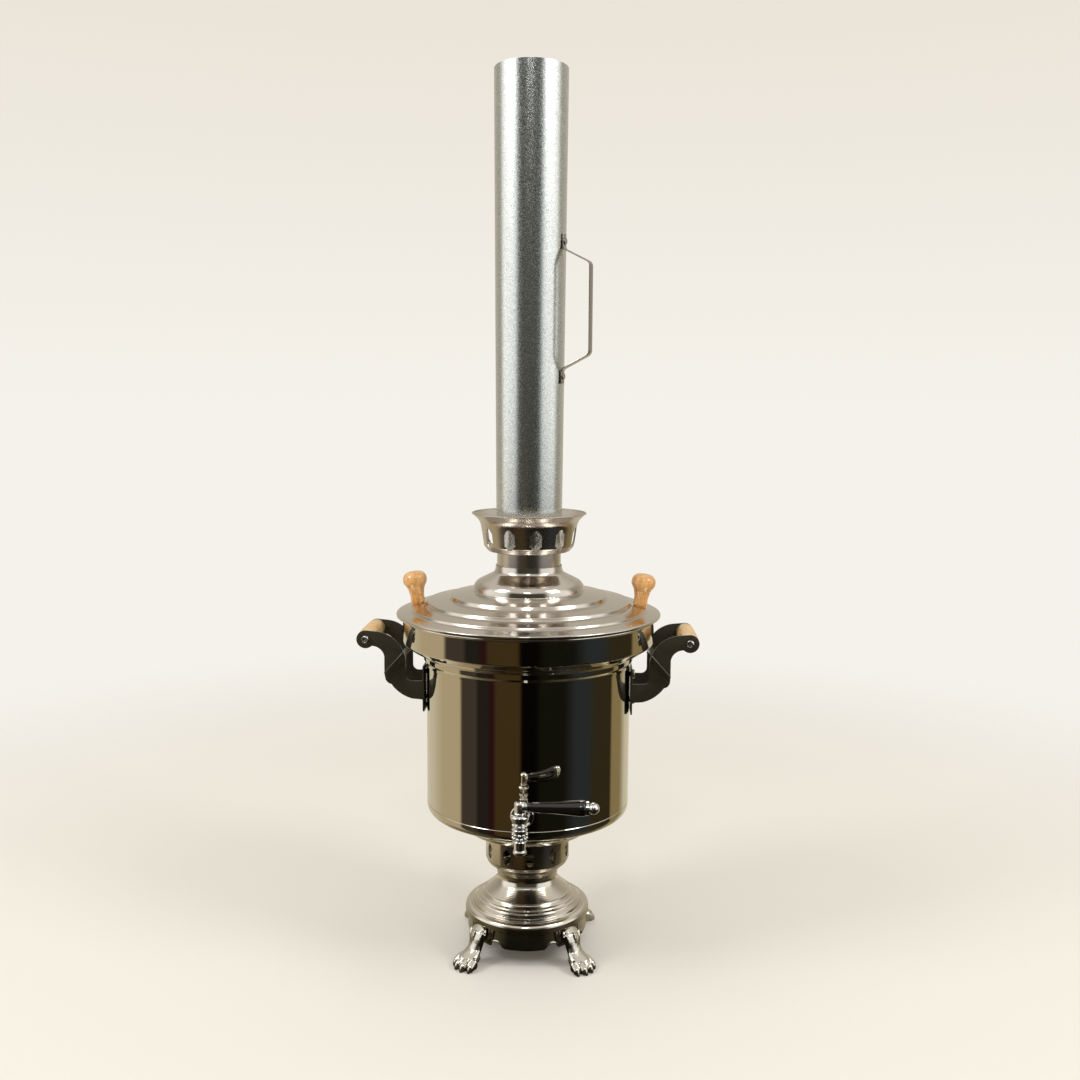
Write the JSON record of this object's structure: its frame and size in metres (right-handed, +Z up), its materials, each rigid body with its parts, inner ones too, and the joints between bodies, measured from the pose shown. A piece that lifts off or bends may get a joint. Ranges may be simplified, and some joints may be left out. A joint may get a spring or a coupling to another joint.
{
  "type": "samovar",
  "caption": "Upright steel samovar with a fire tube, lever tap, wooden handles, slotted crown, lift-off lid and a tall chimney on a footed base.",
  "frame": {"origin": "on the upright axis of the vessel, at the level of the soles of the feet", "axes": "+Z up along the vessel's axis, the tap points to -Y, the handles lie on the X axis"},
  "size_m": [0.3336, 0.2788, 0.8615],
  "materials": {
    "polished_steel": "mirror-polished stainless steel sheet",
    "spun_steel": "polished stainless steel with faint spun rings",
    "fire_steel": "dull stainless steel, heat-tinted",
    "grate_iron": "raw cast iron with ash",
    "cast_silver": "cast aluminium alloy, tumbled and polished",
    "black_lacquer": "semi-matte black stove lacquer",
    "tap_chrome": "bright chrome plate on brass",
    "light_wood": "turned birch under clear lacquer",
    "black_plastic": "glossy black phenolic",
    "zinc_sheet": "hot-dip galvanised sheet with spangle",
    "screw_steel": "zinc-plated steel",
    "seal_rubber": "matte food-grade rubber"
  },
  "bodies": {
    "vessel": {"vessel_shell": "polished_steel", "collar_ring": "polished_steel", "vessel_bottom": "polished_steel", "fire_tube": "fire_steel", "grate": "grate_iron", "throat_ring": "polished_steel", "base_bell": "polished_steel", "base_apron": "cast_silver", "foot_front_right": "cast_silver", "foot_rear_right": "cast_silver", "foot_rear_left": "cast_silver", "foot_front_left": "cast_silver", "foot_screws": "screw_steel", "handle_bracket_right": "black_lacquer", "handle_bracket_left": "black_lacquer", "handle_grip_right": "light_wood", "handle_grip_left": "light_wood", "grip_screws": "screw_steel", "handle_bolts": "screw_steel", "handle_nuts": "screw_steel", "tap_body": "tap_chrome", "tap_gland_nut": "tap_chrome", "tap_gasket": "seal_rubber", "tap_inner_washer": "seal_rubber", "tap_locknut": "screw_steel"},
    "tap_lever": {"tap_key": "tap_chrome", "tap_grip": "black_plastic", "tap_ball": "tap_chrome"},
    "lid": {"lid": "spun_steel", "lid_seat_ring": "spun_steel", "lid_knob_right": "light_wood", "lid_knob_left": "light_wood", "knob_screws": "screw_steel"},
    "crown": {"crown": "spun_steel", "crown_sleeve": "fire_steel"},
    "chimney": {"chimney_pipe": "zinc_sheet", "chimney_handle": "zinc_sheet", "chimney_rivets": "screw_steel"}
  },
  "joints": [
    {"name": "tap_turn", "type": "hinge", "parent": "vessel", "child": "tap_lever", "pos_m": [0, -0.14, 0.173], "axis": [0, 0, 1], "range_deg": [-90, 0]},
    {"name": "lid_lift", "type": "slide", "parent": "vessel", "child": "lid", "axis": [0, 0, 1], "range_m": [0, 0.09]},
    {"name": "crown_lift", "type": "slide", "parent": "lid", "child": "crown", "axis": [0, 0, 1], "range_m": [0, 0.03]},
    {"name": "chimney_lift", "type": "slide", "parent": "crown", "child": "chimney", "axis": [0, 0, 1], "range_m": [0, 0.04]}
  ]
}
